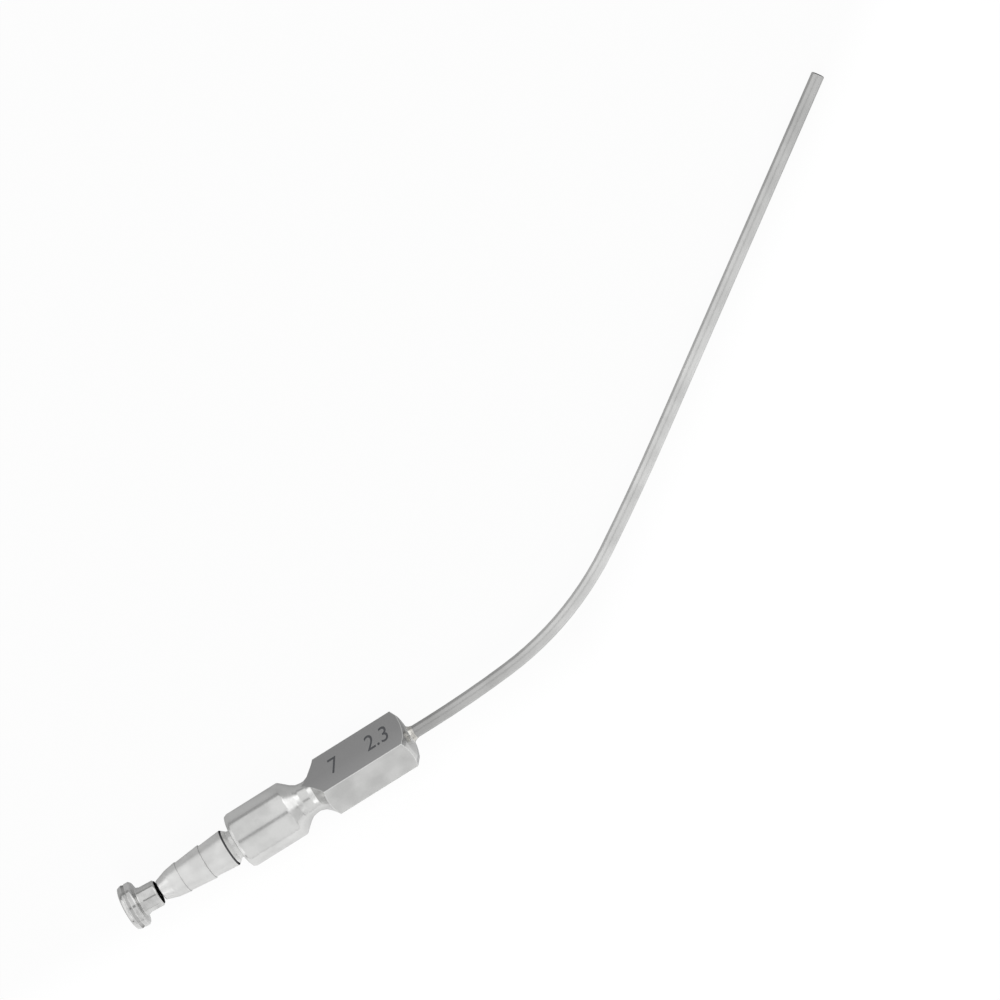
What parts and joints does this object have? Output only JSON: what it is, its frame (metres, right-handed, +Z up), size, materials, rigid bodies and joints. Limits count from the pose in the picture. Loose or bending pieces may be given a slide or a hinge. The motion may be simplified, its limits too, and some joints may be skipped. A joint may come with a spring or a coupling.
{
  "type": "frazier suction tube",
  "caption": "Slim angled steel suction tube on a turned handle with a stepped hose cone, a flat finger plate with a vent, and a cleaning stylet with a round knob.",
  "frame": {"origin": "centre of the hose cone's small end, on the handle's axis", "axes": "+X along the handle's axis towards the tube, +Z up from the table it lies on, +Y towards the side the tube bends to"},
  "size_m": [0.1792, 0.0652, 0.0114],
  "materials": {
    "handle_steel": "satin",
    "tube_steel": "satin",
    "braze_filler": "satin",
    "wire_steel": "drawn",
    "knob_steel": "satin"
  },
  "bodies": {
    "root": {"handle_body": "handle_steel", "cannula_tube": "tube_steel", "braze_ring": "braze_filler", "stylet_wire": "wire_steel", "stylet_knob": "knob_steel"}
  },
  "joints": []
}
